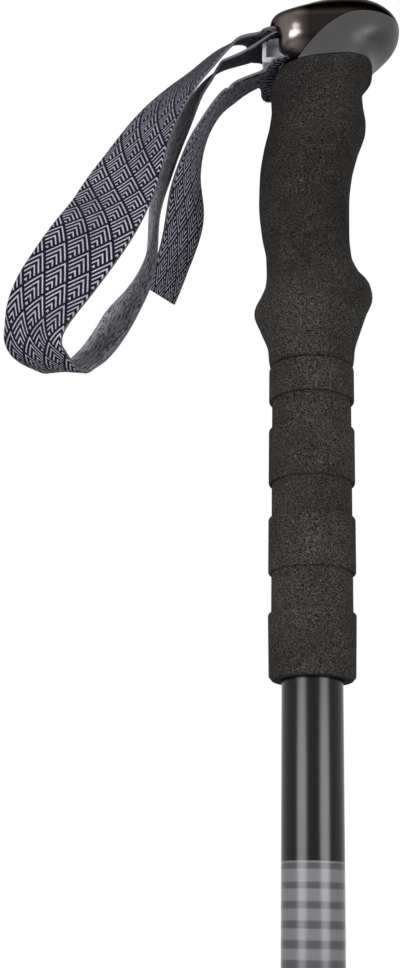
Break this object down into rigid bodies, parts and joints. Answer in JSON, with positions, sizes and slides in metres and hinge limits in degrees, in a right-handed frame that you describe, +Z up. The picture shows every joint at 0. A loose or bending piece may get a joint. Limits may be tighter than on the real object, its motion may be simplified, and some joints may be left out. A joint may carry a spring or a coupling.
{
  "type": "telescopic_trekking_pole",
  "caption": "Telescopic trekking pole with foam grip, plated head, wrist strap on a wedge, ringed foam extension, black tubes, lever locks, basket and rubber foot",
  "frame": {"origin": "Middle of the rubber foot's sole, on the pole's own axis", "axes": "+Z up the pole from foot to head, +X towards the finger grooves and the head's beak, -X towards the wrist strap, Y across the head"},
  "size_m": [0.1232, 0.0566, 0.632],
  "materials": {
    "plated_cover": "bright plated metal on a plastic shell, warm dark tone",
    "head_plastic": "satin moulded plastic",
    "eva_foam": "closed-cell foam, matte and finely pitted",
    "anodised_black": "black anodised tube, satin, with printed bands",
    "lock_plastic": "fine satin texture",
    "lever_plastic": "satin moulded plastic",
    "bright_steel": "bright turned steel",
    "wedge_plastic": "light satin plastic",
    "webbing": "woven webbing with a light chevron print on one face",
    "rubber": "matte rubber",
    "carbide": "ground hard-metal tip"
  },
  "bodies": {
    "grip_section": {"upper_tube": "anodised_black", "grip_head_cover": "plated_cover", "grip_head_body": "head_plastic", "grip_foam": "eva_foam", "grip_extension": "eva_foam", "wedge_pin": "bright_steel", "upper_lock_collar": "lock_plastic", "upper_lock_bolt": "bright_steel", "upper_cam_plate": "bright_steel", "upper_lever_pin": "bright_steel"},
    "wedge": {"strap_wedge": "wedge_plastic", "wrist_strap": "webbing"},
    "upper_lever": {"upper_lock_lever": "lever_plastic"},
    "upper_wheel": {"upper_thumb_wheel": "lock_plastic"},
    "middle_section": {"middle_tube": "anodised_black", "middle_guide": "lock_plastic", "lower_lock_collar": "lock_plastic", "lower_lock_bolt": "bright_steel", "lower_cam_plate": "bright_steel", "lower_lever_pin": "bright_steel"},
    "lower_lever": {"lower_lock_lever": "lever_plastic"},
    "lower_wheel": {"lower_thumb_wheel": "lock_plastic"},
    "lower_section": {"lower_tube": "anodised_black", "lower_guide": "lock_plastic", "tip_ferrule": "lock_plastic", "carbide_tip": "carbide"},
    "basket_body": {"basket": "lock_plastic"},
    "foot": {"rubber_foot": "rubber"}
  },
  "joints": [
    {"name": "middle_slide", "type": "slide", "parent": "grip_section", "child": "middle_section", "axis": [0, 0, -1], "range_m": [0, 0.35]},
    {"name": "lower_slide", "type": "slide", "parent": "middle_section", "child": "lower_section", "axis": [0, 0, -1], "range_m": [0, 0.35]},
    {"name": "upper_lever_hinge", "type": "hinge", "parent": "grip_section", "child": "upper_lever", "pos_m": [0.0152, 0.0127, 0.1688], "axis": [0, 0, -1], "range_deg": [0, 115]},
    {"name": "lower_lever_hinge", "type": "hinge", "parent": "middle_section", "child": "lower_lever", "pos_m": [0.0142, 0.0127, 0.1208], "axis": [0, 0, -1], "range_deg": [0, 115]},
    {"name": "upper_wheel_turn", "type": "hinge", "parent": "grip_section", "child": "upper_wheel", "pos_m": [0.0152, -0.0082, 0.1688], "axis": [0, -1, 0], "range_deg": [-360, 360]},
    {"name": "lower_wheel_turn", "type": "hinge", "parent": "middle_section", "child": "lower_wheel", "pos_m": [0.0142, -0.0082, 0.1208], "axis": [0, -1, 0], "range_deg": [-360, 360]},
    {"name": "wedge_slide", "type": "slide", "parent": "grip_section", "child": "wedge", "axis": [-1, 0, 0], "range_m": [0, 0.004]},
    {"name": "basket_turn", "type": "hinge", "parent": "lower_section", "child": "basket_body", "pos_m": [0, 0, 0.0625], "axis": [0, 0, -1], "range_deg": [0, 720]},
    {"name": "foot_slide", "type": "slide", "parent": "lower_section", "child": "foot", "axis": [0, 0, -1], "range_m": [0, 0.037]}
  ]
}
